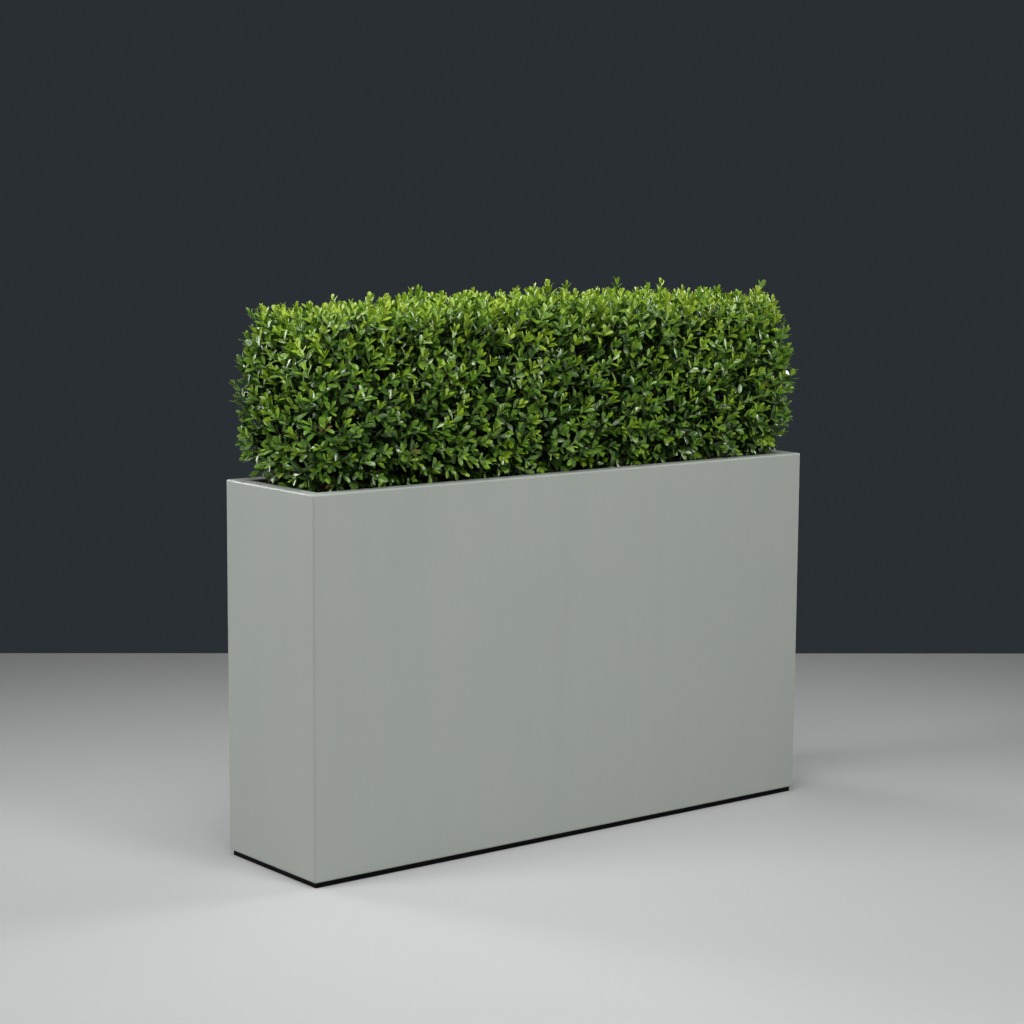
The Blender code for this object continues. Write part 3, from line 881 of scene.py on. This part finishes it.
def grow_shoots(twigs, targets, rng):
    """Paths of a plant's shoots, from points on its twigs to their targets, and their heights."""
    paths, heights = [], []
    for target in targets:
        out = outward(target)
        height = (target.z - RIM_TOP) / HEDGE_HEIGHT
        rise = max(height, 0.0) ** SHOOT_LIFT_POWER
        lift = SHOOT_LIFT_FOOT + (SHOOT_LIFT_TOP - SHOOT_LIFT_FOOT) * rise
        jitter = Vector(rng.normal(0, SHOOT_JITTER, 3))
        heading = (out + Vector((0, 0, lift)) + jitter).normalized()
        tip = target + (heading + out).normalized() * shoot_growth(target, out, rng)
        most_x = HEDGE_LENGTH / 2 + SIDE_GROWTH - TIP_LEAF * abs(heading.x)
        most_y = HEDGE_DEPTH / 2 + SIDE_GROWTH - TIP_LEAF * abs(heading.y)
        tip.x = max(-most_x, min(most_x, tip.x))
        tip.y = max(-most_y, min(most_y, tip.y))
        base, node = min(twigs, key=lambda line: (line[1] - target).length)
        start = base.lerp(node, rng.uniform(SHOOT_LOWEST_START, 1.0))
        bend = tip - heading * min(SHOOT_LENGTH, SHOOT_LONGEST_SHARE * (tip - start).length)
        path = []
        for step in range(SHOOT_POINTS):
            share = step / (SHOOT_POINTS - 1)
            path.append(start.lerp(bend, share).lerp(bend.lerp(tip, share), share))
        paths.append(path)
        heights.append(height)
    return np.array(paths), np.array(heights)


def point_along(paths, distance):
    """Point and direction on each path, at a distance back from its tip."""
    steps = np.linalg.norm(np.diff(paths[:, ::-1], axis=1), axis=2)
    travelled = np.concatenate([np.zeros((len(paths), 1)), np.cumsum(steps, axis=1)], axis=1)
    segment = np.clip((travelled < distance).sum(axis=1) - 1, 0, steps.shape[1] - 1)
    rows = np.arange(len(paths))
    backward = paths[:, ::-1]
    first, second = backward[rows, segment], backward[rows, segment + 1]
    share = ((distance - travelled[rows, segment]) / steps[rows, segment])[:, None]
    return first + (second - first) * share, unit(first - second)


# Leaves: the usual length in metres, its least, most and spread as parts of it, angles in radians.
LEAF_LENGTH = 0.0215
LENGTH_SPREAD = 0.10
LEAST_LENGTH, MOST_LENGTH = 0.7, 1.25
LEAF_ROUNDNESS = 0.43
ROUNDNESS_SPREAD = 0.13
LEAST_ROUNDNESS, MOST_ROUNDNESS = 0.7, 1.3
TIP_LEAF_SIZE = 0.62
GROWN_PAIR = 2
LEAST_FOLD, MOST_FOLD = 0.05, 0.50
LEAST_CURL, MOST_CURL = -0.22, 0.10
PAIR_STEP = 0.0066
PAIR_STEP_GROWTH = 0.0012
PAIR_TURN_SPREAD = 0.16
TIP_OPENING = math.radians(17)
OPENING_WITH_AGE = math.radians(42)
OPENING_POWER = 0.7
OPENING_SPREAD = 0.14
LEAF_FACING = (0, 0, 0.35)
FACING_SPREAD = 0.12

# A leaf's tone is its place in LEAF_TONES: paler towards the top, partly as young growth and partly as
# painted light from above; darker where the outline faces up, as painted shade; darker with age; and darker
# with depth, as painted shade inside the hedge.
FOOT_TONE = 2.80
TONE_TO_TOP_GROWTH_AND_LIGHT = -1.9
PAINTED_SHADE_FACING_UP = 0.4
TONE_WITH_AGE = 2.5
PAINTED_SHADE_WITH_DEPTH = 85
SPRAY_TONE_SPREAD = 0.65
LEAF_TONE_SPREAD = 0.38
DRY = len(LEAF_TONES) - 1
DRY_SHARE = 0.004
DRY_HIGHEST = 0.5
DRY_YOUNGEST = 0.4


def leaf_pairs(paths, heights, out_z, pairs, depth, rng):
    """Leaves of many shoots, in pairs that cross, from the tip back down each shoot."""
    count = len(paths)
    turn = rng.uniform(0, math.tau, count)
    spray = rng.normal(0, SPRAY_TONE_SPREAD, count)
    # Paler towards the top, partly young growth and partly painted light from above; darker where the
    # outline faces up, as painted shade.
    usual_tone = FOOT_TONE + TONE_TO_TOP_GROWTH_AND_LIGHT * heights**2 + PAINTED_SHADE_FACING_UP * np.clip(out_z, 0, 1)
    found = {key: [] for key in ("root", "along", "facing", "length", "roundness", "fold", "curl", "tone")}
    distance = 0.0
    for pair in range(pairs):
        root, heading = point_along(paths, distance)
        side = unit(np.cross(heading, LEAF_REFERENCE))
        other = np.cross(heading, side)
        age = pair / (pairs - 1)
        usual_opening = TIP_OPENING + OPENING_WITH_AGE * age**OPENING_POWER
        usual_length = LEAF_LENGTH * (TIP_LEAF_SIZE + (1 - TIP_LEAF_SIZE) * min(1.0, pair / GROWN_PAIR))
        for half in (0, 1):
            angle = turn + pair * math.pi / 2 + half * math.pi + rng.normal(0, PAIR_TURN_SPREAD, count)
            opening = usual_opening + rng.normal(0, OPENING_SPREAD, count)
            spread = np.cos(angle)[:, None] * side + np.sin(angle)[:, None] * other
            along = unit(np.cos(opening)[:, None] * heading + np.sin(opening)[:, None] * spread)
            facing = unit(heading + LEAF_FACING + rng.normal(0, FACING_SPREAD, (count, 3)))
            length = rng.normal(1.0, LENGTH_SPREAD, count).clip(LEAST_LENGTH, MOST_LENGTH)
            roundness = rng.normal(1.0, ROUNDNESS_SPREAD, count).clip(LEAST_ROUNDNESS, MOST_ROUNDNESS)
            found["root"].append(root)
            found["along"].append(along)
            found["facing"].append(facing)
            found["length"].append(usual_length * length)
            found["roundness"].append(LEAF_ROUNDNESS * roundness)
            found["fold"].append(rng.uniform(LEAST_FOLD, MOST_FOLD, count))
            found["curl"].append(rng.uniform(LEAST_CURL, MOST_CURL, count))
            tone = usual_tone + TONE_WITH_AGE * age + spray
            # Deeper layers of shoots are pushed towards the old and shade tones: painted shade inside the
            # hedge.
            tone = tone + rng.normal(0, LEAF_TONE_SPREAD, count) + PAINTED_SHADE_WITH_DEPTH * depth
            tone = np.clip(np.round(tone), 0, DRY - 1)
            dried = (rng.random(count) < DRY_SHARE) & (heights < DRY_HIGHEST) & (age > DRY_YOUNGEST)
            found["tone"].append(np.where(dried, DRY, tone))
        distance += PAIR_STEP + PAIR_STEP_GROWTH * pair
    return {key: np.concatenate(values) for key, values in found.items()}


def own_space(index):
    """Both ends, along X, of the space of a plant's leaves, open at the hedge's ends."""
    half = PLANT_PITCH / 2 + SPACE_OVERLAP
    hedge_end = HEDGE_LENGTH / 2 + SIDE_GROWTH
    low_x = plant_x(index) - half if index > 0 else -hedge_end
    high_x = plant_x(index) + half if index < PLANT_COUNT - 1 else hedge_end
    return low_x, high_x


def keep_inside(leaves, index):
    """Drops the leaves that would leave the plant's own space or the outline, or touch the rim."""
    tips = leaves["root"] + leaves["along"] * leaves["length"][:, None]
    low_x, high_x = own_space(index)
    fine = (tips[:, 0] > low_x) & (tips[:, 0] < high_x)
    over_top = np.where(tips[:, 2] > RIM_TOP + HEDGE_HEIGHT, TOP_SPRIG_GROWTH, 0.0)
    fine &= np.array([outline_distance(tip) for tip in tips]) < TALLEST_GROWTH + over_top
    fine &= np.abs(tips[:, 1]) < HEDGE_DEPTH / 2 + SIDE_GROWTH
    past_mouth_x = np.abs(tips[:, 0]) > TROUGH_LENGTH / 2 - RIM_WIDTH
    past_mouth_y = np.abs(tips[:, 1]) > TROUGH_DEPTH / 2 - RIM_WIDTH
    lowest = np.where(past_mouth_x | past_mouth_y, RIM_TOP + RIM_CLEARANCE, RIM_TOP - MOUTH_DROP)
    fine &= tips[:, 2] > lowest
    return {key: values[fine] for key, values in leaves.items()}


def grow_foliage(index, twigs, layers, wood, tones):
    """Twigs, shoots and leaves of one plant, as one piece of wood and one piece for each tone."""
    rng = np.random.default_rng(SEED * PLANT_COUNT + index)
    node = f"foliage_{index + 1}"
    twig_paths = [bent_path(base, end, Vector((0, 0, TWIG_BEND)), SHOOT_POINTS) for base, end in twigs]
    twig_radii = np.tile(np.linspace(TWIG_RADIUS, SHOOT_BASE_RADIUS, SHOOT_POINTS), (len(twigs), 1))
    paths, radii, leaves = [np.array(twig_paths)], [twig_radii], []
    shoot_radii = np.linspace(SHOOT_BASE_RADIUS, SHOOT_TIP_RADIUS, SHOOT_POINTS)
    for (depth, _spacing, pairs), targets in zip(SHOOT_LAYERS, layers):
        own = [target for target in targets if nearest_plant(target) == index]
        shoots, heights = grow_shoots(twigs, own, rng)
        out_z = np.array([outward(target).z for target in own])
        leaves.append(keep_inside(leaf_pairs(shoots, heights, out_z, pairs, depth, rng), index))
        paths.append(shoots)
        radii.append(np.tile(shoot_radii, (len(own), 1)))
    points, faces = tube_arrays(np.concatenate(paths), np.concatenate(radii))
    ride_root(joined_mesh(f"twigs_{index + 1}", points, faces, wood), "bark", node)
    leaves = {key: np.concatenate([layer[key] for layer in leaves]) for key in leaves[0]}
    for tone, (name, material) in enumerate(tones):
        chosen = {key: values[leaves["tone"] == tone] for key, values in leaves.items()}
        if len(chosen["root"]):
            points, faces = leaf_arrays(chosen)
            piece = joined_mesh(f"leaves_{index + 1}_{name}", points, faces, material)
            ride_root(piece, "box_leaf", node)


def grow_hedge():
    """The stems, boughs, twigs, shoots and leaves of all the plants."""
    bark, wood = box_bark(), young_wood()
    tones = [(name, leaf_material(name, colour)) for name, colour in LEAF_TONES]
    twigs = twig_lines()
    layers = []
    for number, (depth, spacing, _pairs) in enumerate(SHOOT_LAYERS):
        layers.append(spread_targets(SEED + 1 + number, spacing, SHOOT_TRIES, depth, LOWEST_TARGET))
    for index in range(PLANT_COUNT):
        model_stem(index, bark)
        grow_foliage(index, twigs[index], layers, wood, tones)


# ---------------------------------------------------------------- floor, light and camera

FLOOR_BEHIND = 1.757
FLOOR_TURN = math.radians(1.8)
FLOOR_ASIDE = 6.0
FLOOR_DEPTH = 5.0


def lay_floor():
    """A plain pale floor that ends in a straight line behind the planter."""
    material, tree, shader = new_material("studio_floor", (0.425, 0.430, 0.430), 0.6)
    shader.inputs["Specular IOR Level"].default_value = 0.25
    blotches = place_group(tree, "mottle", Scale=1.3, Contrast=1.2)
    pale = mix_colours(tree, blotches.outputs["Mask"], (0.417, 0.422, 0.422), (0.433, 0.438, 0.438))
    tree.links.new(pale, shader.inputs["Base Color"])
    deselect()
    bpy.ops.mesh.primitive_plane_add(size=1.0)
    floor = bpy.context.object
    floor.name = "studio_floor"
    turn = Matrix.Rotation(FLOOR_TURN - CAMERA_YAW, 4, "Z")
    corners = [(x, y) for y in (-FLOOR_DEPTH, FLOOR_BEHIND) for x in (-FLOOR_ASIDE, FLOOR_ASIDE)]
    for vertex, (x, y) in zip(floor.data.vertices, corners):
        vertex.co = turn @ Vector((x, y, 0.0))
    floor.data.materials.append(material)


def beside_camera(across, nearer, height):
    """A place in the camera's terms: across to the right, and nearer to it than the planter is."""
    turn = Matrix.Rotation(-CAMERA_YAW, 3, "Z")
    return turn @ Vector((across, -nearer, height))


def add_softbox(name, place, target, size, power, spread):
    """A soft box at a place, aimed at a target: size in metres, power in watts, spread in degrees."""
    data = bpy.data.lights.new(name, "AREA")
    data.shape = "RECTANGLE"
    data.size, data.size_y = size
    data.energy = power
    data.spread = math.radians(spread)
    light = bpy.data.objects.new(name, data)
    light.location = beside_camera(*place)
    light.rotation_euler = (beside_camera(*target) - light.location).to_track_quat("-Z", "Y").to_euler()
    light.visible_camera = False
    bpy.context.scene.collection.objects.link(light)


BACKDROP_COLOUR = (0.023, 0.028, 0.034, 1.0)
AMBIENT_COLOUR = (0.95, 0.98, 1.0, 1.0)
AMBIENT_STRENGTH = 0.02

# Each soft box: name, place and target as beside_camera takes them, size, power and spread.
SOFTBOXES = (
    ("softbox_above", (-0.3, 0.9, 3.2), (0.0, 0.3, 0.8), (1.6, 1.2), 19.0, 140.0),
    ("softbox_over_left", (-0.3, 1.9, 3.0), (-0.3, 1.5, 0.0), (1.6, 1.2), 15.5, 120.0),
    ("softbox_over_right", (1.7, 1.6, 3.0), (1.7, 1.2, 0.0), (1.4, 1.2), 10.0, 120.0),
    ("softbox_left", (-4.0, 1.8, 2.9), (-0.4, 0.0, 0.5), (1.5, 1.5), 44.0, 110.0),
    ("softbox_front_right", (3.4, 3.4, 2.9), (0.0, 0.0, 0.5), (1.5, 1.5), 47.0, 110.0),
    ("softbox_back_left", (-3.1, -1.9, 1.9), (0.0, 0.0, 0.7), (2.4, 1.8), 10.0, 38.0),
    ("softbox_back_right", (3.1, -1.8, 1.9), (0.0, 0.0, 0.7), (2.4, 1.8), 10.0, 38.0),
)


def light_studio():
    """A dark backdrop that lights nothing, a faint even light, and the soft boxes."""
    world = bpy.data.worlds.new("studio_backdrop")
    bpy.context.scene.world = world
    world.use_nodes = True
    tree = world.node_tree
    backdrop = tree.nodes["Background"]
    backdrop.inputs["Color"].default_value = BACKDROP_COLOUR
    ambient = tree.nodes.new("ShaderNodeBackground")
    ambient.inputs["Color"].default_value = AMBIENT_COLOUR
    ambient.inputs["Strength"].default_value = AMBIENT_STRENGTH
    path = tree.nodes.new("ShaderNodeLightPath")
    mix = tree.nodes.new("ShaderNodeMixShader")
    tree.links.new(path.outputs["Is Camera Ray"], mix.inputs["Fac"])
    ambient_socket, backdrop_socket = mix.inputs[1:]
    tree.links.new(ambient.outputs["Background"], ambient_socket)
    tree.links.new(backdrop.outputs["Background"], backdrop_socket)
    tree.links.new(mix.outputs["Shader"], tree.nodes["World Output"].inputs["Surface"])
    for softbox in SOFTBOXES:
        add_softbox(*softbox)


def set_camera():
    """The camera at its height, turned and pitched to the planter, with its slight roll."""
    data = bpy.data.cameras.new("camera")
    data.sensor_width = SENSOR_MM
    data.lens = LENS_MM
    camera = bpy.data.objects.new("camera", data)
    level = Euler((math.pi / 2 - CAMERA_PITCH, 0.0, -CAMERA_YAW)).to_matrix()
    turned = level @ Matrix.Rotation(CAMERA_ROLL, 3, "Z")
    camera.matrix_world = Matrix.Translation(CAMERA_PLACE) @ turned.to_4x4()
    bpy.context.scene.collection.objects.link(camera)
    bpy.context.scene.camera = camera


# ---------------------------------------------------------------- making it all

bpy.context.scene.view_settings.view_transform = "Standard"
set_camera()
light_studio()
lay_floor()
model_trough()
finish_plinth()
model_soil(potting_soil())
grow_hedge()
